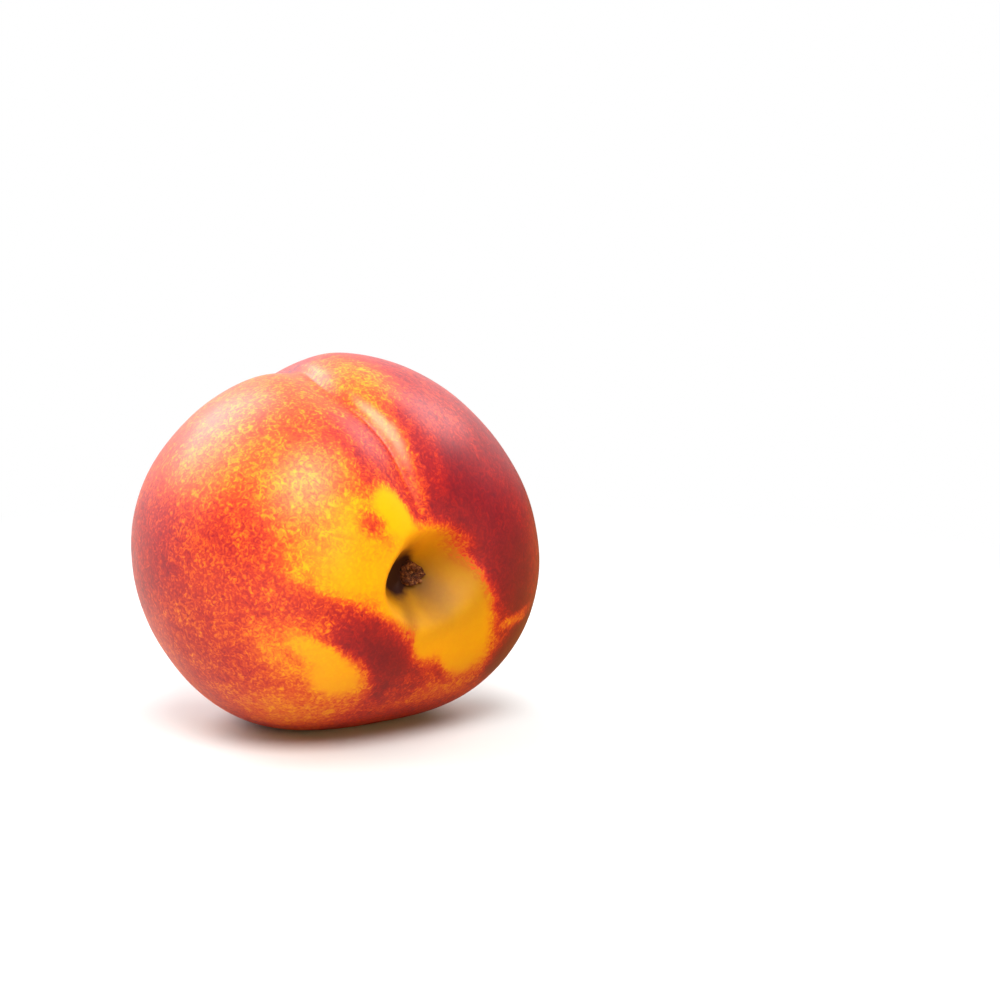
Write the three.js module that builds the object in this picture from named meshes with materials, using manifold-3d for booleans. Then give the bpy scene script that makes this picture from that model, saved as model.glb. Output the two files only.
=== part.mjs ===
// A ripe nectarine lying on its side, with the dried scar of its stalk in the stem hollow.
// It rests on a small flat spot. +Z is up, the hollow looks to the front right, and the seam is on top.
import * as THREE from 'three';
import { mergeVertices } from 'three/addons/utils/BufferGeometryUtils.js';
import Module from 'manifold-3d';

const wasm = await Module();
wasm.setup();

const degree = Math.PI / 180;

// Fruit axes: Z out of the stem hollow, X out through the seam, Y out through one cheek. Millimetres.
const seamHalf = 34.6;
const backHalf = 33.8;
const cheekHalf = 37.1;
const stemHalf = 31.8;
const tipHalf = 35.9;

// How full the curve is: 2 is an ellipse, more is boxier, and less is more pointed.
const waistFullness = 2.1;
const stemFullness = 2.1;
const tipFullness = 1.92;

// Low swells and dents of the skin: height, then the longitude and the polar angle of the middle.
const swells = [
  { height: 1.3, longitude: -90, polar: 50 },
  { height: 0.7, longitude: 91, polar: 134 },
  { height: -2.5, longitude: -55, polar: 66 },
  { height: -2.8, longitude: 125, polar: 114 },
  { height: -3.2, longitude: 170, polar: 75 },
  { height: -0.9, longitude: 40, polar: 120 },
  { height: 1.3, longitude: -145, polar: 62 },
  { height: 2.1, longitude: 150, polar: 118 },
  { height: 0.6, longitude: -120, polar: 85 },
];
const swellWidth = 0.2;

// Stem hollow: a wide dish, and in it a pit that is a little off its middle and steep on the +Y side.
// Widths and shifts are angles in radians.
const hollowDepth = 4.2;
const hollowAlong = 0.75;
const hollowAcross = 0.56;
const pitDepth = 8.4;
const pitAlong = 0.24;
const pitAcross = 0.315;
const pitShiftAlong = 0.035;
const pitShiftAcross = 0.075;
const pitGentle = 2.2;
const pitSteep = 6.0;
const steepSide = { from: 0.4, to: 1.0 };

// Seam: a shallow valley with a narrow crease, one lip prouder than the other, and a wander.
const valleyDepth = 1.3;
const valleyHalf = 5.0;
const creaseDepth = 0.7;
const creaseHalf = 1.1;
const lipLift = 0.6;
const lipHalf = 1.5;
const lipReach = 12;
const valleyFade = { from: 0.25, to: 0.65 };
const creaseFade = { from: 0.35, to: 0.75 };
const wanders = [
  { shift: 2.5, polar: 34, width: 20 },
  { shift: 5.6, polar: 74, width: 26 },
  { shift: -1.7, polar: 110, width: 15 },
];

// Tip: a dimple with a small point in it.
const tipDimple = 0.9;
const tipDimpleAngle = 0.35;
const tipPoint = 1.4;
const tipPointAngle = 0.10;

// Stalk scar: a crumbly disc on the floor of the pit, with an uneven edge, a cupped top and ridges.
const scarAngle = 0.105;
const scarGap = 0.3;
const scarThickness = 1.1;
const scarCup = 0.55;
const scarCupHalf = 0.45;
const scarRimSteepness = 1.6;
const scarRidge = 0.22;
const scarRidges = 6;
const scarTwist = 1.5;
const scarEdges = [
  { height: 0.07, lobes: 3, start: 0.6 },
  { height: 0.05, lobes: 5, start: 2.1 },
];

// How the fruit lies: direction of the stem hollow, roll of the seam, and the fruit's middle.
const stemAzimuth = -47;
const stemRise = -3.8;
const seamRoll = 6.5;
const middle = new THREE.Vector3(-0.35, -1.45, 30.9);

// Mesh fineness: columns crowd to the seam, and rings crowd to the stem hollow.
const columns = 72;
const rings = 50;
const scarColumns = 30;
const scarRings = 16;
const seamCrowding = 0.75;
const ringCrowding = 1.35;
const driftRadius = 33;
const driftLeastSine = 0.35;

// What is cut off under the resting spot.
const floorWidth = 80;
const floorDepth = 20;

// A guard against division by zero, and the gap within which a sphere's double vertices are joined.
const tiny = 1e-6;
const joinGap = 1e-5;

function smoothstep(low, high, value) {
  const u = Math.min(Math.max((value - low) / (high - low), 0), 1);
  return u * u * (3 - 2 * u);
}

function bell(value) {
  return Math.exp(-value * value);
}

// How far the seam is from the XZ plane at one polar angle.
function seamShift(polar) {
  let shift = 0;
  for (const wander of wanders) {
    shift += wander.shift * bell((polar / degree - wander.polar) / wander.width);
  }
  return shift;
}

// Distance of the skin from the fruit's middle, in one direction.
function skinRadius(polar, longitude) {
  const dx = Math.sin(polar) * Math.cos(longitude);
  const dy = Math.sin(polar) * Math.sin(longitude);
  const dz = Math.cos(polar);
  const halfX = dx > 0 ? seamHalf : backHalf;
  const halfZ = dz > 0 ? stemHalf : tipHalf;
  const fullness = dz > 0 ? stemFullness : tipFullness;
  const waistSum = Math.abs(dx / halfX) ** waistFullness + Math.abs(dy / cheekHalf) ** waistFullness;
  const waist = waistSum ** (1 / waistFullness);
  let radius = (waist ** fullness + Math.abs(dz / halfZ) ** fullness) ** (-1 / fullness);

  for (const swell of swells) {
    const a = swell.longitude * degree;
    const b = swell.polar * degree;
    const along = dx * Math.sin(b) * Math.cos(a) + dy * Math.sin(b) * Math.sin(a) + dz * Math.cos(b);
    radius += swell.height * Math.exp((along - 1) / swellWidth);
  }

  const px = polar * Math.cos(longitude);
  const py = polar * Math.sin(longitude);
  radius -= hollowDepth * Math.exp(-((px / hollowAlong) ** 2) - (py / hollowAcross) ** 2);
  const qx = px - pitShiftAlong;
  const qy = py - pitShiftAcross;
  const towardsSteep = qy / Math.max(Math.hypot(qx, qy), tiny);
  const steepness = smoothstep(steepSide.from, steepSide.to, towardsSteep);
  const power = pitGentle + (pitSteep - pitGentle) * steepness;
  const across = (qx / pitAlong) ** 2 + (qy / pitAcross) ** 2;
  radius -= pitDepth * Math.exp(-(across ** power));

  const y = radius * dy - seamShift(polar);
  const valley = smoothstep(valleyFade.from, valleyFade.to, dx);
  const crease = smoothstep(creaseFade.from, creaseFade.to, dx);
  radius -= valley * valleyDepth * bell(y / valleyHalf);
  radius -= crease * creaseDepth / (1 + (y / creaseHalf) ** 2);
  radius -= valley * lipLift * Math.tanh(y / lipHalf) * bell(y / lipReach);

  const fromTip = Math.PI - polar;
  radius -= tipDimple * bell(fromTip / tipDimpleAngle);
  radius += tipPoint * bell(fromTip / tipPointAngle);
  return radius;
}

// The unit sphere's poles are on its Y axis, so a point there gives its polar angle and its turn.
function sphereAngles(point) {
  const polar = Math.acos(Math.min(Math.max(point.y, -1), 1));
  const turn = Math.atan2(point.z, point.x);
  return [polar, turn];
}

function toCartesian(radius, polar, longitude) {
  return new THREE.Vector3(
    radius * Math.sin(polar) * Math.cos(longitude),
    radius * Math.sin(polar) * Math.sin(longitude),
    radius * Math.cos(polar),
  );
}

// Moves each vertex of a closed unit sphere to the point that place() gives for its angles.
function shapedSphere(columnCount, ringCount, place) {
  const sphere = new THREE.SphereGeometry(1, columnCount, ringCount);
  sphere.deleteAttribute('normal');
  sphere.deleteAttribute('uv');
  const closed = mergeVertices(sphere, joinGap);
  const position = closed.attributes.position;
  const point = new THREE.Vector3();
  for (let i = 0; i < position.count; i += 1) {
    point.fromBufferAttribute(position, i);
    const [polar, turn] = sphereAngles(point);
    const placed = place(polar, turn);
    position.setXYZ(i, placed.x, placed.y, placed.z);
  }
  turnOutwards(closed);
  return closed;
}

// Swaps two corners of every face if the solid is inside out.
function turnOutwards(geometry) {
  const position = geometry.attributes.position;
  const index = geometry.index;
  const a = new THREE.Vector3();
  const b = new THREE.Vector3();
  const c = new THREE.Vector3();
  let volume = 0;
  for (let i = 0; i < index.count; i += 3) {
    a.fromBufferAttribute(position, index.getX(i));
    b.fromBufferAttribute(position, index.getX(i + 1));
    c.fromBufferAttribute(position, index.getX(i + 2));
    volume += a.dot(b.cross(c)) / 6;
  }
  if (volume < 0) {
    for (let i = 0; i < index.count; i += 3) {
      const second = index.getX(i + 1);
      index.setX(i + 1, index.getX(i + 2));
      index.setX(i + 2, second);
    }
  }
}

function toSolid(geometry) {
  return new wasm.Manifold(new wasm.Mesh({
    numProp: 3,
    vertProperties: new Float32Array(geometry.attributes.position.array),
    triVerts: new Uint32Array(geometry.index.array),
  }));
}

function toGeometry(solid) {
  const mesh = solid.getMesh();
  const geometry = new THREE.BufferGeometry();
  geometry.setAttribute('position', new THREE.BufferAttribute(mesh.vertProperties, 3));
  geometry.setIndex(new THREE.BufferAttribute(mesh.triVerts, 1));
  return geometry;
}

// Fruit axes in the object's frame.
function lyingMatrix() {
  const azimuth = stemAzimuth * degree;
  const rise = stemRise * degree;
  const roll = seamRoll * degree;
  const stem = new THREE.Vector3(
    Math.cos(rise) * Math.cos(azimuth),
    Math.cos(rise) * Math.sin(azimuth),
    Math.sin(rise),
  );
  const up = new THREE.Vector3(0, 0, 1).addScaledVector(stem, -stem.z).normalize();
  const side = new THREE.Vector3().crossVectors(stem, up);
  const seam = up.multiplyScalar(Math.cos(roll)).addScaledVector(side, Math.sin(roll));
  const cheek = new THREE.Vector3().crossVectors(stem, seam);
  return new THREE.Matrix4().makeBasis(seam, cheek, stem).setPosition(middle);
}

// Columns follow the seam's wander in front and are plain meridians at the back.
function placeSkin(polar, turn) {
  const ring = Math.PI * (polar / Math.PI) ** ringCrowding;
  const drift = seamShift(ring) / (driftRadius * Math.max(Math.sin(ring), driftLeastSine));
  const longitude = turn - seamCrowding * Math.sin(turn) + drift * (0.5 + 0.5 * Math.cos(turn));
  return toCartesian(skinRadius(ring, longitude), ring, longitude);
}

// The scar's underside follows the floor of the pit, and its top is cupped and ridged.
function placeScar(polar, turn) {
  const out = Math.sin(polar);
  let edge = 1;
  for (const wave of scarEdges) {
    edge += wave.height * Math.sin(wave.lobes * turn + wave.start);
  }
  const angle = scarAngle * out * edge;
  const lift = Math.min(Math.max(Math.cos(polar), 0) * scarRimSteepness, 1);
  const cup = scarCup * bell(out / scarCupHalf);
  const ridge = scarRidge * out * Math.sin(scarRidges * turn + scarTwist * Math.sin(turn));
  const radius = skinRadius(angle, turn) + scarGap + lift * (scarThickness - cup + ridge);
  return toCartesian(radius, angle, turn);
}

const lying = lyingMatrix();

// The resting spot: everything under the floor is cut off square.
const floorBlock = new THREE.BoxGeometry(floorWidth, floorWidth, floorDepth);
floorBlock.deleteAttribute('normal');
floorBlock.deleteAttribute('uv');
floorBlock.translate(0, 0, -floorDepth / 2);
floorBlock.applyMatrix4(lying.clone().invert());
const whole = toSolid(shapedSphere(columns, rings, placeSkin));
const rested = whole.subtract(toSolid(mergeVertices(floorBlock)));

const nectarine = new THREE.Mesh(
  toGeometry(rested),
  new THREE.MeshStandardMaterial({ color: 0xd8552b, roughness: 0.4, metalness: 0 }),
);
nectarine.name = 'nectarine';

const scar = new THREE.Mesh(
  shapedSphere(scarColumns, scarRings, placeScar),
  new THREE.MeshStandardMaterial({ color: 0x4a2418, roughness: 0.85, metalness: 0 }),
);
scar.name = 'stalk_scar';

const group = new THREE.Group();
group.name = 'nectarine_lying';
group.add(nectarine, scar);
group.applyMatrix4(lying);

export default group;
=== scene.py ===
import math

import bpy
import numpy as np
from mathutils import Matrix, Vector, noise


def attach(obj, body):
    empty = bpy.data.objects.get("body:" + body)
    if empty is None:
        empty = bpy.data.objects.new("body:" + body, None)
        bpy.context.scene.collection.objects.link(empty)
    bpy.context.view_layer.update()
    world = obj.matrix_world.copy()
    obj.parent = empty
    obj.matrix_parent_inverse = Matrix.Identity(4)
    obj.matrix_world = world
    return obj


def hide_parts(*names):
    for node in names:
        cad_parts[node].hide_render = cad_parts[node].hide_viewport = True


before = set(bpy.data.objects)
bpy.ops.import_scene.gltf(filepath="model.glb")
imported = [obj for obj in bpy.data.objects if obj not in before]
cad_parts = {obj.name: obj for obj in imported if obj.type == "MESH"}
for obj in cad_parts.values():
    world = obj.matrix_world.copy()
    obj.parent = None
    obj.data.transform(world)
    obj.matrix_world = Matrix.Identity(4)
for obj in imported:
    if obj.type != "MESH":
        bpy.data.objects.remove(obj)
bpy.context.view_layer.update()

mm = 0.001
degree = math.pi / 180

# The fruit's own axes: Z out of the stem hollow, X out through the seam, Y out through one cheek.
fruit = {
    "seamHalf": 34.6,  # mm
    "backHalf": 33.8,
    "cheekHalf": 37.1,
    "stemHalf": 31.8,
    "tipHalf": 35.9,
    "waistFullness": 2.1,
    "stemFullness": 2.1,
    "tipFullness": 1.92,
    # low swells: height, longitude and polar angle
    "swells": [
        (1.3, -90, 50),
        (0.7, 91, 134),
        (-2.5, -55, 66),
        (-2.8, 125, 114),
        (-3.2, 170, 75),
        (-0.9, 40, 120),
        (1.3, -145, 62),
        (2.1, 150, 118),
        (0.6, -120, 85),
    ],
    "swellWidth": 0.2,
    "hollowDepth": 4.2,
    "hollowAlong": 0.75,  # radians
    "hollowAcross": 0.56,
    "pitDepth": 8.4,
    "pitAlong": 0.24,
    "pitAcross": 0.315,
    "pitShiftAlong": 0.035,
    "pitShiftAcross": 0.075,
    "pitGentle": 2.2,
    "pitSteep": 6.0,
    "steepSide": (0.4, 1.0),
    "valleyDepth": 1.3,
    "valleyHalf": 5.0,
    "creaseDepth": 0.7,
    "creaseHalf": 1.1,
    "lipLift": 0.6,
    "lipHalf": 1.5,
    "lipReach": 12,
    "valleyFade": (0.25, 0.65),
    "creaseFade": (0.35, 0.75),
    # the seam's wander: shift, polar angle, width
    "wanders": [(2.5, 34, 20), (5.6, 74, 26), (-1.7, 110, 15)],
    "tipDimple": 0.9,
    "tipDimpleAngle": 0.35,
    "tipPoint": 1.4,
    "tipPointAngle": 0.10,
    # how it lies
    "stemAzimuth": -47,  # degrees
    "stemRise": -3.8,
    "seamRoll": 6.5,
    "middle": (-0.35, -1.45, 30.9),
    # fineness
    "columns": 400,
    "rings": 220,
    "seamCrowding": 0.5,
    "ringCrowding": 1.35,
    "driftRadius": 33,  # mm
    "driftLeastSine": 0.35,
    "unevenness": 0.10,  # mm
    "unevenSize": 9.0,
    "pressSoftness": 0.12,
}


def smoothstep(low, high, value):
    u = np.clip((value - low) / (high - low), 0, 1)
    return u * u * (3 - 2 * u)


def bell(value):
    return np.exp(-value * value)


def seamShift(polar):
    return sum(shift * bell((polar / degree - at) / width) for shift, at, width in fruit["wanders"])


def skinRadius(polar, longitude):
    f = fruit
    dx = np.sin(polar) * np.cos(longitude)
    dy = np.sin(polar) * np.sin(longitude)
    dz = np.cos(polar)
    halfX = np.where(dx > 0, f["seamHalf"], f["backHalf"])
    halfZ = np.where(dz > 0, f["stemHalf"], f["tipHalf"])
    full = np.where(dz > 0, f["stemFullness"], f["tipFullness"])
    waistSum = np.abs(dx / halfX) ** f["waistFullness"] + np.abs(dy / f["cheekHalf"]) ** f["waistFullness"]
    waist = waistSum ** (1 / f["waistFullness"])
    radius = (waist ** full + np.abs(dz / halfZ) ** full) ** (-1 / full)

    for height, lon, pol in f["swells"]:
        a, b = lon * degree, pol * degree
        along = dx * math.sin(b) * math.cos(a) + dy * math.sin(b) * math.sin(a) + dz * math.cos(b)
        radius = radius + height * np.exp((along - 1) / f["swellWidth"])

    px = polar * np.cos(longitude)
    py = polar * np.sin(longitude)
    hollow = (px / f["hollowAlong"]) ** 2 + (py / f["hollowAcross"]) ** 2
    radius = radius - f["hollowDepth"] * np.exp(-hollow)
    qx = px - f["pitShiftAlong"]
    qy = py - f["pitShiftAcross"]
    steepness = smoothstep(*f["steepSide"], qy / np.maximum(np.hypot(qx, qy), 1e-6))
    power = f["pitGentle"] + (f["pitSteep"] - f["pitGentle"]) * steepness
    across = (qx / f["pitAlong"]) ** 2 + (qy / f["pitAcross"]) ** 2
    radius = radius - f["pitDepth"] * np.exp(-across ** power)

    y = radius * dy - seamShift(polar)
    valley = smoothstep(*f["valleyFade"], dx)
    crease = smoothstep(*f["creaseFade"], dx)
    radius = radius - valley * f["valleyDepth"] * bell(y / f["valleyHalf"])
    radius = radius - crease * f["creaseDepth"] / (1 + (y / f["creaseHalf"]) ** 2)
    radius = radius - valley * f["lipLift"] * np.tanh(y / f["lipHalf"]) * bell(y / f["lipReach"])

    fromTip = math.pi - polar
    radius = radius - f["tipDimple"] * bell(fromTip / f["tipDimpleAngle"])
    return radius + f["tipPoint"] * bell(fromTip / f["tipPointAngle"])


def toPoints(radius, polar, longitude):
    return np.stack([
        radius * np.sin(polar) * np.cos(longitude),
        radius * np.sin(polar) * np.sin(longitude),
        radius * np.cos(polar),
    ], axis=-1)


def lyingMatrix():
    azimuth, rise, roll = (fruit[k] * degree for k in ("stemAzimuth", "stemRise", "seamRoll"))
    stem = Vector((math.cos(rise) * math.cos(azimuth), math.cos(rise) * math.sin(azimuth), math.sin(rise)))
    up = (Vector((0, 0, 1)) - stem * stem.z).normalized()
    side = stem.cross(up)
    seam = up * math.cos(roll) + side * math.sin(roll)
    cheek = stem.cross(seam)
    turned = Matrix((seam, cheek, stem)).transposed()
    return Matrix.Translation(Vector(fruit["middle"])) @ turned.to_4x4()


lying = lyingMatrix()


# A closed mesh from rings of points: the first and last rings shrink to the two poles.
def closedMesh(name, first, rings, last):
    ringCount, columnCount = rings.shape[:2]
    points = np.concatenate([[first], rings.reshape(-1, 3), [last]])
    turned = points @ np.array(lying.to_3x3()).T + np.array(lying.translation)
    points = pressFoot(turned) * mm
    faces = []
    for c in range(columnCount):
        n = (c + 1) % columnCount
        faces.append((0, 1 + c, 1 + n))
        for r in range(ringCount - 1):
            a = 1 + r * columnCount
            b = a + columnCount
            faces.append((a + c, b + c, b + n, a + n))
        a = 1 + (ringCount - 1) * columnCount
        faces.append((a + c, len(points) - 1, a + n))
    mesh = bpy.data.meshes.new(name)
    mesh.from_pydata(points.tolist(), [], faces)
    mesh.shade_smooth()
    piece = bpy.data.objects.new(name, mesh)
    bpy.context.scene.collection.objects.link(piece)
    return piece


# The skin yields a little where it touches the table.
def pressFoot(points):
    soft = fruit["pressSoftness"]
    points[:, 2] = (points[:, 2] + np.sqrt(points[:, 2] ** 2 + soft * soft)) / 2
    return points


def unevenness(points, size):
    heights = [noise.noise(Vector(p) / size) for p in points.reshape(-1, 3)]
    return np.array(heights).reshape(points.shape[:-1])


def makeSkin():
    f = fruit
    u = np.arange(1, f["rings"]) / f["rings"]
    turns = np.arange(f["columns"]) / f["columns"] * 2 * math.pi - math.pi
    polar, turn = np.meshgrid(math.pi * u ** f["ringCrowding"], turns, indexing="ij")
    drift = seamShift(polar) / (f["driftRadius"] * np.maximum(np.sin(polar), f["driftLeastSine"]))
    longitude = turn - f["seamCrowding"] * np.sin(turn) + drift * (0.5 + 0.5 * np.cos(turn))
    radius = skinRadius(polar, longitude)
    points = toPoints(radius, polar, longitude)
    fade = smoothstep(0.1, 0.5, polar)
    radius = radius + fade * f["unevenness"] * unevenness(points, f["unevenSize"])
    points = toPoints(radius, polar, longitude)
    first = (0, 0, float(skinRadius(np.array(0.0), np.array(0.0))))
    last = (0, 0, -float(skinRadius(np.array(math.pi), np.array(0.0))))
    return closedMesh("fruit_skin", first, points, last)


scar = {
    "angle": 0.105,  # radians from the stem's axis
    "sink": 0.25,  # mm into the pit's floor
    "thickness": 1.6,
    "cup": 0.75,
    "cupHalf": 0.42,
    "rimSteepness": 1.6,
    # uneven edge: height, lobes, start
    "edges": [(0.07, 3, 0.6), (0.05, 5, 2.1)],
    # ridges: height in mm, number, twist
    "ridges": [(0.28, 9, 1.5), (0.14, 23, 2.0)],
    "crumbs": 0.45,  # mm
    "crumbSize": 0.5,
    "columns": 180,
    "rings": 70,
}


def makeScar():
    s = scar
    rows = np.arange(1, s["rings"]) / s["rings"] * math.pi
    turns = np.arange(s["columns"]) / s["columns"] * 2 * math.pi - math.pi
    row, turn = np.meshgrid(rows, turns, indexing="ij")
    out = np.sin(row)
    edge = 1 + sum(height * np.sin(lobes * turn + start) for height, lobes, start in s["edges"])
    angle = s["angle"] * out * edge
    floor = skinRadius(angle, turn) - s["sink"]
    lift = np.minimum(np.maximum(np.cos(row), 0) * s["rimSteepness"], 1)
    top = s["thickness"] - s["cup"] * bell(out / s["cupHalf"])
    for height, count, twist in s["ridges"]:
        top = top + height * out * np.sin(count * turn + twist * np.sin(turn))
    top = top + s["crumbs"] * unevenness(toPoints(floor, angle, turn), s["crumbSize"])
    points = toPoints(floor + lift * top, angle, turn)
    floorMiddle = float(skinRadius(np.array(0.0), np.array(0.0))) - s["sink"]
    first = (0, 0, floorMiddle + s["thickness"] - s["cup"])
    return closedMesh("stalk_scar_fine", first, points, (0, 0, floorMiddle))


# Wraps an output socket, so that plain sums add Math nodes.
class Value:
    def __init__(self, socket):
        self.socket = socket

    def math(self, operation, *others):
        return addNode(self.socket.id_data, "ShaderNodeMath", {"operation": operation}, [self, *others])

    def reflected(self, operation, other):
        return addNode(self.socket.id_data, "ShaderNodeMath", {"operation": operation}, [other, self])

    def out(self, name):
        return Value(self.socket.node.outputs[name])

    def __add__(self, other):
        return self.math("ADD", other)

    def __sub__(self, other):
        return self.math("SUBTRACT", other)

    def __rsub__(self, other):
        return self.reflected("SUBTRACT", other)

    def __mul__(self, other):
        return self.math("MULTIPLY", other)

    def __truediv__(self, other):
        return self.math("DIVIDE", other)

    def __pow__(self, other):
        return self.math("POWER", other)

    __radd__ = __add__
    __rmul__ = __mul__


# Adds any node: settings first (a ramp's stops too), then its inputs by name or in order.
def addNode(tree, kind, settings, inputs):
    node = tree.nodes.new(kind)
    for key, value in settings.items():
        if key == "stops":
            ramp = node.color_ramp
            while len(ramp.elements) < len(value):
                ramp.elements.new(0.5)
            for element, (position, colour) in zip(ramp.elements, value):
                element.position = position
                element.color = colour
        else:
            setattr(node, key, value)
    if isinstance(inputs, dict):
        pairs = [(next(s for s in node.inputs if s.enabled and s.name == k), v) for k, v in inputs.items()]
    else:
        pairs = zip(node.inputs, inputs)
    for socket, value in pairs:
        if isinstance(value, Value):
            tree.links.new(value.socket, socket)
        else:
            socket.default_value = value
    return Value(next((s for s in node.outputs if s.enabled), None))


def colour(red, green, blue):
    def toLinear(c):
        c = c / 255
        return c / 12.92 if c <= 0.04045 else ((c + 0.055) / 1.055) ** 2.4
    return (toLinear(red), toLinear(green), toLinear(blue), 1)


def rangeMap(tree, value, low, high):
    settings = {"interpolation_type": "SMOOTHSTEP"}
    inputs = {"Value": value, "From Min": low, "From Max": high}
    return addNode(tree, "ShaderNodeMapRange", settings, inputs)


def mixValue(tree, factor, a, b):
    return addNode(tree, "ShaderNodeMix", {"data_type": "FLOAT"}, {"Factor": factor, "A": a, "B": b})


def mixColour(tree, factor, a, b, blend="MIX"):
    settings = {"data_type": "RGBA", "blend_type": blend}
    return addNode(tree, "ShaderNodeMix", settings, {"Factor": factor, "A": a, "B": b})


def noiseValue(tree, point, scale, detail=2.0, roughness=0.5, distortion=0.0):
    inputs = {
        "Vector": point,
        "Scale": scale,
        "Detail": detail,
        "Roughness": roughness,
        "Distortion": distortion,
    }
    return addNode(tree, "ShaderNodeTexNoise", {}, inputs)


# Fruit coordinates in mm, from the object's own.
def fruitPoint(tree):
    place = addNode(tree, "ShaderNodeTexCoord", {}, {}).out("Object")
    inputs = {
        "Vector": place,
        "Location": [x * mm for x in fruit["middle"]],
        "Rotation": lying.to_3x3().to_euler(),
        "Scale": (mm, mm, mm),
    }
    return addNode(tree, "ShaderNodeMapping", {"vector_type": "TEXTURE"}, inputs)


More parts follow.
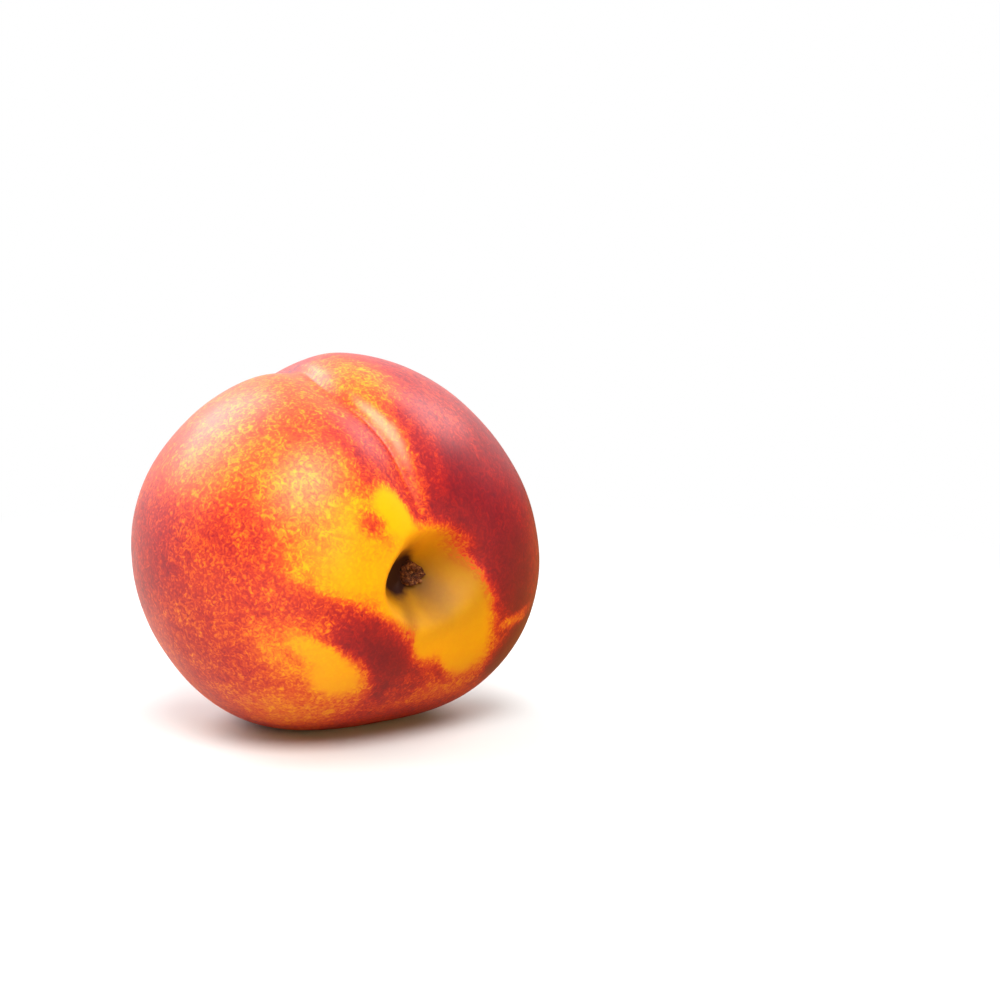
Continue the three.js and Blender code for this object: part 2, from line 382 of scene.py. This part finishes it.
# The skin's colours run by one amount of blush, 0 for bare yellow and 1 for the darkest purple.
skin = {
    "ramp": [
        (0.00, colour(252, 188, 0)),
        (0.12, colour(250, 170, 8)),
        (0.28, colour(240, 134, 26)),
        (0.44, colour(226, 88, 32)),
        (0.58, colour(206, 56, 38)),
        (0.72, colour(176, 34, 40)),
        (0.86, colour(136, 26, 42)),
        (1.00, colour(98, 22, 42)),
    ],
    "plainBlush": 0.55,
    # streaks from the stem to the tip: turns across, stretch along, strength, how much fades and where
    "streakAcross": 3.0,
    "streakAlong": 0.9,
    "streakStrength": 1.4,
    "streakFade": 1.0,
    "streakFadeAngles": (2.3, 3.0),
    # noise that pushes the dabs' edges about: size in mm, push in radians
    "wobbles": [(9.0, 0.07), (2.6, 0.03), (0.8, 0.016)],
    # mottling: noise scale per mm, detail, distortion, share
    "mottles": [(0.4, 1.0, 0.8, 0.35), (0.8, 0.5, 2.2, 0.62), (1.7, 0.0, 0.9, 0.42)],
    "mottleLighter": 1.3,
    "mottleDarker": 0.75,
    "mottleShift": 0.04,
    "mottleLeast": 0.10,
    "mottleMost": 0.68,
    "mottleStarts": (0.0, 0.3),
    "mottleEnds": (0.6, 0.9),
    "mottleEndShare": 0.8,
    # the skin is duller inside the hollow: polar angles, added roughness
    "dullAngles": (0.25, 0.6),
    "dullness": 0.26,
    "roughness": 0.34,
    "roughnessSpread": 0.10,
    # brown, dried skin in the pit, and painted shade on the hollow's walls round it: place, length, width,
    # softness, strength; the blush it stops at
    "stainAndShade": [
        (-0.10, 0.12, 0.24, 0.22, 0.6, 0.42),
        (0.08, 0.16, 0.20, 0.20, 0.25, 0.65),
        (-0.05, -0.18, 0.28, 0.25, 0.8, 0.58),
        (-0.17, 0.20, 0.09, 0.07, 0.9, 0.22),
    ],
    "stainAndShadeBlush": (0.6, 0.2),
    "stainAndShadeStops": [
        (0.3, colour(150, 100, 12)),
        (0.65, colour(84, 34, 12)),
        (1.0, colour(48, 12, 10)),
    ],
    # paler skin with a painted sheen beside the seam, where its bank faces the light: place, length,
    # width, turn, softness, strength
    "paleAndSheen": [(0.98, 0.10, 0.2, 0.04, 8, 0.6, 0.35)],
    "paleAndSheenColour": colour(255, 214, 168),
    # dabs of blush: amount, place (towards the seam, towards the cheek), length, width, turn, softness
    "dabs": [
        # the broad cheek on the left
        (0.50, 0.75, 1.30, 0.95, 0.75, 0, 0.5),
        (0.70, 0.30, 1.90, 0.60, 0.44, 0, 0.5),
        (0.56, -0.42, 1.45, 0.42, 0.40, 0, 0.5),
        (0.54, 0.30, 1.18, 0.34, 0.26, 0, 0.6),
        (0.34, 0.98, 1.10, 0.26, 0.36, 10, 0.6),
        (0.40, 1.50, 0.60, 0.45, 0.60, 0, 0.5),
        (0.30, 0.70, 0.74, 0.26, 0.24, 0, 0.6),
        (0.62, 0.80, 0.31, 0.22, 0.10, -8, 0.6),
        (0.24, 0.26, 0.70, 0.24, 0.24, 0, 0.6),
        (0.08, 0.20, 0.55, 0.18, 0.20, 0, 0.6),
        (0.34, 0.47, 0.54, 0.10, 0.16, 10, 0.6),
        # the lobe on the right
        (0.68, 1.05, -0.45, 0.60, 0.52, 0, 0.35),
        (0.80, 0.25, -0.72, 0.60, 0.38, 0, 0.35),
        (0.78, -0.35, -0.80, 0.40, 0.30, 0, 0.4),
        (0.84, 0.53, -0.25, 0.25, 0.25, 0, 0.3),
        (0.86, 0.20, -0.47, 0.28, 0.16, 20, 0.7),
        (0.88, -0.08, -0.57, 0.26, 0.15, 0, 0.5),
        (0.72, 0.72, -0.08, 0.20, 0.08, 0, 0.5),
        # bare yellow round the hollow
        (0.04, 0.06, 0.12, 0.32, 0.36, 0, 0.25),
        (0.02, -0.15, -0.12, 0.32, 0.22, 20, 0.3),
        (0.02, -0.38, -0.18, 0.26, 0.20, 15, 0.3),
        (0.14, 0.42, 0.50, 0.20, 0.17, 0, 0.6),
        (0.00, 0.48, 0.28, 0.18, 0.11, 23, 0.4),
        (0.52, 0.44, 0.43, 0.08, 0.06, 35, 0.8),
        # under the hollow
        (0.88, -0.58, -0.66, 0.32, 0.17, -50, 0.4),
        (0.30, -0.365, -0.57, 0.03, 0.12, 5, 0.9),
        (0.38, -0.78, -0.02, 0.12, 0.34, 0, 0.6),
        (0.66, -1.05, -0.05, 0.20, 0.60, 0, 0.5),
        (0.31, -0.72, 0.88, 0.24, 0.32, 0, 0.6),
        # the dark band to its lower left
        (0.54, 0.10, 1.02, 0.20, 0.10, 70, 0.7),
        (0.58, 0.00, 0.74, 0.18, 0.07, 62, 0.8),
        (0.60, -0.40, 0.33, 0.32, 0.14, 42, 0.5),
        (0.72, -0.14, 0.56, 0.15, 0.09, 48, 0.8),
        (0.88, -0.35, 0.43, 0.25, 0.12, 48, 0.8),
        (0.84, -0.56, 0.33, 0.14, 0.11, 0, 0.8),
        (0.03, -0.33, 0.07, 0.17, 0.15, 0, 0.4),
        (0.66, -0.66, 0.21, 0.11, 0.13, 0, 0.6),
        # the yellow patch under the band
        (0.28, -0.28, 0.92, 0.24, 0.13, 40, 0.7),
        (0.08, -0.24, 0.79, 0.18, 0.07, 50, 0.6),
        (0.05, -0.43, 0.68, 0.18, 0.12, 40, 0.5),
        # along the seam
        (0.52, 0.61, 0.08, 0.14, 0.08, 0, 0.5),
        (0.36, 1.12, 0.10, 0.32, 0.07, 8, 0.6),
        (0.32, 1.35, -0.05, 0.26, 0.20, 0, 0.7),
    ],
}


# How far out of a dab's middle, where 1 is its edge.
def dabDistance(tree, chart, seamward, cheekward, along, across, turn):
    inputs = {
        "Vector": chart,
        "Location": (seamward, cheekward, 0),
        "Rotation": (0, 0, turn * degree),
        "Scale": (along, across, 1),
    }
    local = addNode(tree, "ShaderNodeMapping", {"vector_type": "TEXTURE"}, inputs)
    return addNode(tree, "ShaderNodeVectorMath", {"operation": "LENGTH"}, [local]).out("Value")


def skinMaterial():
    material = bpy.data.materials.new("nectarine_skin")
    material.use_nodes = True
    tree = material.node_tree
    tree.nodes.clear()
    point = fruitPoint(tree)

    length = addNode(tree, "ShaderNodeVectorMath", {"operation": "LENGTH"}, [point]).out("Value")
    split = addNode(tree, "ShaderNodeSeparateXYZ", {}, [point])
    x, y, z = split.out("X"), split.out("Y"), split.out("Z")
    polar = (z / length).math("ARCCOSINE")
    flat = (x * x + y * y).math("SQRT")
    toSeam = x / flat * polar
    toCheek = y / flat * polar

    # the chart of the skin, pushed about by noise so that no dab has a plain edge
    chart = addNode(tree, "ShaderNodeCombineXYZ", {}, [toSeam, toCheek, 0.0])
    for size, push in skin["wobbles"]:
        pair = [noiseValue(tree, point, 1 / size, 1.0).out("Color"), (0.5, 0.5, 0.5)]
        centred = addNode(tree, "ShaderNodeVectorMath", {"operation": "SUBTRACT"}, pair)
        inputs = [centred, (push, push, push), chart]
        chart = addNode(tree, "ShaderNodeVectorMath", {"operation": "MULTIPLY_ADD"}, inputs)

    across, along = skin["streakAcross"], skin["streakAlong"]
    place = [x / flat * across, y / flat * across, polar * along]
    streakPoint = addNode(tree, "ShaderNodeCombineXYZ", {}, place)
    streaks = noiseValue(tree, streakPoint, 1.0, 3.0, 0.6)
    nearTip = rangeMap(tree, polar, *skin["streakFadeAngles"])
    streakStrength = skin["streakStrength"] - nearTip * skin["streakFade"]
    blush = skin["plainBlush"] + (streaks - 0.5) * streakStrength

    for amount, seamward, cheekward, along, across, turn, soft in skin["dabs"]:
        far = dabDistance(tree, chart, seamward, cheekward, along, across, turn)
        blush = mixValue(tree, rangeMap(tree, far, 1 + soft, 1 - soft), blush, amount)

    # worm-like flecks, strongest where the blush is half way, and more lighter than darker
    mottle = 0
    for scale, detail, distortion, share in skin["mottles"]:
        mottle = (noiseValue(tree, point, scale, detail, 0.5, distortion) - 0.5) * share + mottle
    lighter = mottle.math("MINIMUM", 0.0) * skin["mottleLighter"]
    darker = mottle.math("MAXIMUM", 0.0) * skin["mottleDarker"]
    mottle = lighter + darker + skin["mottleShift"]
    full = rangeMap(tree, blush, *skin["mottleEnds"])
    middling = rangeMap(tree, blush, *skin["mottleStarts"]) * (1 - full * skin["mottleEndShare"])
    blush = blush + mottle * (middling * skin["mottleMost"] + skin["mottleLeast"])

    ramp = addNode(tree, "ShaderNodeValToRGB", {"stops": skin["ramp"]}, [blush])
    # the pit's brown stain together with painted shade on the hollow's walls, mixed over the skin's
    # colours
    stainAndShade = 0
    for seamward, cheekward, along, across, soft, strength in skin["stainAndShade"]:
        far = dabDistance(tree, chart, seamward, cheekward, along, across, 0)
        stainAndShade = rangeMap(tree, far, 1 + soft, 1 - soft) * strength + stainAndShade
    # paler skin and painted sheen on the seam's lit bank
    for seamward, cheekward, along, across, turn, soft, strength in skin["paleAndSheen"]:
        far = dabDistance(tree, chart, seamward, cheekward, along, across, turn)
        paleAndSheenAmount = rangeMap(tree, far, 1 + soft, 1 - soft) * strength
        ramp = mixColour(tree, paleAndSheenAmount, ramp, skin["paleAndSheenColour"])
    stainAndShade = stainAndShade * rangeMap(tree, blush, *skin["stainAndShadeBlush"])
    stainAndShadeColour = addNode(tree, "ShaderNodeValToRGB", {"stops": skin["stainAndShadeStops"]}, [stainAndShade])
    shade = mixColour(tree, stainAndShade.math("MINIMUM", 1.0), ramp, stainAndShadeColour)

    fine = noiseValue(tree, point, 2.2, 2.0, 0.6)
    broad = noiseValue(tree, point, 0.6, 1.0)
    bumpHeight = fine * 0.6 + broad * 0.4
    inputs = {"Strength": 0.25, "Distance": 0.06 * mm, "Height": bumpHeight}
    bump = addNode(tree, "ShaderNodeBump", {}, inputs)
    dull = 1 - rangeMap(tree, polar, *skin["dullAngles"])
    patchy = noiseValue(tree, point, 0.5, 2.0) * skin["roughnessSpread"]
    rough = skin["roughness"] + patchy + dull * skin["dullness"]

    surface = addNode(tree, "ShaderNodeBsdfPrincipled", {}, {
        "Base Color": shade,
        "Roughness": rough,
        "IOR": 1.46,
        "Normal": bump,
        "Subsurface Weight": 0.08,
        "Subsurface Radius": (1.0, 0.4, 0.15),
        "Subsurface Scale": 0.002,
    })
    addNode(tree, "ShaderNodeOutputMaterial", {}, [surface])
    return material


def scarMaterial():
    material = bpy.data.materials.new("dried_stalk")
    material.use_nodes = True
    tree = material.node_tree
    tree.nodes.clear()
    point = fruitPoint(tree)
    patches = noiseValue(tree, point, 1.6, 3.0, 0.7, 0.5)
    stops = [(0.35, colour(36, 12, 6)), (0.5, colour(88, 38, 18)), (0.66, colour(158, 104, 58))]
    shade = addNode(tree, "ShaderNodeValToRGB", {"stops": stops}, [patches])
    bump = addNode(tree, "ShaderNodeBump", {}, {"Strength": 0.6, "Distance": 0.0002, "Height": patches})
    surface = addNode(tree, "ShaderNodeBsdfPrincipled", {}, {
        "Base Color": shade,
        "Roughness": 0.8,
        "Normal": bump,
    })
    addNode(tree, "ShaderNodeOutputMaterial", {}, [surface])
    return material


def dressFruit():
    piece = makeSkin()
    piece.data.materials.append(skinMaterial())
    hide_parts("nectarine")
    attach(piece, "root")
    remnant = makeScar()
    remnant.data.materials.append(scarMaterial())
    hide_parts("stalk_scar")
    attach(remnant, "root")


studio = {
    "lens": 140,  # mm, on a 36 mm sensor
    "distance": 683.5,  # mm from the fruit's middle
    "rise": 10,  # degrees above the horizon
    "fruitRight": -29.0,  # mm, where the fruit's middle is in the frame
    "fruitUp": -8.75,
    "floorSize": 4.0,  # m
}


def makeCamera():
    s = studio
    rise = s["rise"] * degree
    right = Vector((1, 0, 0))
    up = Vector((0, math.sin(rise), math.cos(rise)))
    back = Vector((0, -math.cos(rise), math.sin(rise)))
    place = Vector(fruit["middle"]) - right * s["fruitRight"] - up * s["fruitUp"] + back * s["distance"]
    data = bpy.data.cameras.new("camera")
    data.lens = s["lens"]
    data.sensor_width = 36
    data.clip_start = 0.01
    camera = bpy.data.objects.new("camera", data)
    camera.matrix_world = Matrix.Translation(place * mm) @ Matrix((right, up, back)).transposed().to_4x4()
    bpy.context.scene.collection.objects.link(camera)
    bpy.context.scene.camera = camera


def makeFloor():
    half = studio["floorSize"] / 2
    mesh = bpy.data.meshes.new("table")
    corners = [(-half, -half, 0), (half, -half, 0), (half, half, 0), (-half, half, 0)]
    mesh.from_pydata(corners, [], [(0, 1, 2, 3)])
    floor = bpy.data.objects.new("table", mesh)
    bpy.context.scene.collection.objects.link(floor)
    material = bpy.data.materials.new("table_white")
    material.use_nodes = True
    tree = material.node_tree
    tree.nodes.clear()
    seen = addNode(tree, "ShaderNodeLightPath", {}, {}).out("Is Camera Ray")
    white = addNode(tree, "ShaderNodeBsdfDiffuse", {}, {"Color": (0.74, 0.77, 0.77, 1)})
    glow = addNode(tree, "ShaderNodeEmission", {}, {"Color": (1, 1, 1, 1), "Strength": 1.0})
    place = addNode(tree, "ShaderNodeTexCoord", {}, {}).out("Object")
    # what the fruit sees of the table is darker and warmer to its right: painted shade and warm bounce
    # light, as from fruit standing there
    right = addNode(tree, "ShaderNodeSeparateXYZ", {}, [place]).out("X")
    toRight = rangeMap(tree, right, -0.02, 0.05)
    bounce = mixColour(tree, toRight, (0.58, 0.50, 0.44, 1), (0.35, 0.18, 0.05, 1))
    dim = addNode(tree, "ShaderNodeBsdfDiffuse", {}, {"Color": bounce})
    away = addNode(tree, "ShaderNodeVectorMath", {"operation": "LENGTH"}, [place]).out("Value")
    far = rangeMap(tree, away, 0.07, 0.22)
    lit = addNode(tree, "ShaderNodeMixShader", {}, [far, white, glow])
    mixed = addNode(tree, "ShaderNodeMixShader", {}, [seen, dim, lit])
    addNode(tree, "ShaderNodeOutputMaterial", {}, [mixed])
    mesh.materials.append(material)


# Softboxes: azimuth from the front and rise in degrees, distance and size in m, power in W, colour.
softboxes = [
    ("front", 8, 51, 0.9, 0.56, 8.5, (1, 1, 1)),
    ("left", -102, 40, 1.0, 0.7, 3.0, (1, 1, 1)),
    ("backLeft", -135, 38, 1.0, 0.6, 6.0, (1, 1, 1)),
    ("backRight", 128, 40, 1.0, 0.5, 3.2, (1, 1, 1)),
    ("lowFront", 25, 6, 1.0, 0.6, 5.0, (1, 0.78, 0.32)),
]


def makeLights():
    target = Vector(fruit["middle"]) * mm
    for name, azimuth, rise, distance, size, power, tint in softboxes:
        a, e = azimuth * degree, rise * degree
        away = Vector((math.sin(a) * math.cos(e), -math.cos(a) * math.cos(e), math.sin(e)))
        data = bpy.data.lights.new(name, "AREA")
        data.shape = "SQUARE"
        data.size = size
        data.energy = power
        data.color = tint
        light = bpy.data.objects.new(name, data)
        light.location = target + away * distance
        light.rotation_euler = away.to_track_quat("Z", "Y").to_euler()
        bpy.context.scene.collection.objects.link(light)


def makeWorld():
    world = bpy.data.worlds.new("studio")
    world.use_nodes = True
    tree = world.node_tree
    tree.nodes.clear()
    seen = addNode(tree, "ShaderNodeLightPath", {}, {}).out("Is Camera Ray")
    way = addNode(tree, "ShaderNodeTexCoord", {}, {}).out("Generated")
    split = addNode(tree, "ShaderNodeSeparateXYZ", {}, [way])
    # bright behind the fruit, dim in front of it, and brown low on the right
    towardsBack = rangeMap(tree, split.out("Y"), -0.4, 0.5)
    lowRight = rangeMap(tree, split.out("X") * 0.8 - split.out("Z"), 0.0, 0.5)
    glow = mixValue(tree, towardsBack, 0.15, 1.1)
    white = addNode(tree, "ShaderNodeBackground", {}, [(1, 1, 1, 1), 1.0])
    tint = mixColour(tree, lowRight, (1, 1, 1, 1), (0.25, 0.07, 0.01, 1))
    fill = addNode(tree, "ShaderNodeBackground", {}, [tint, glow])
    mixed = addNode(tree, "ShaderNodeMixShader", {}, [seen, fill, white])
    addNode(tree, "ShaderNodeOutputWorld", {}, [mixed])
    bpy.context.scene.world = world
    bpy.context.scene.view_settings.view_transform = "Standard"


dressFruit()
print("fruit done")
makeCamera()
makeFloor()
makeLights()
makeWorld()
print("studio done")
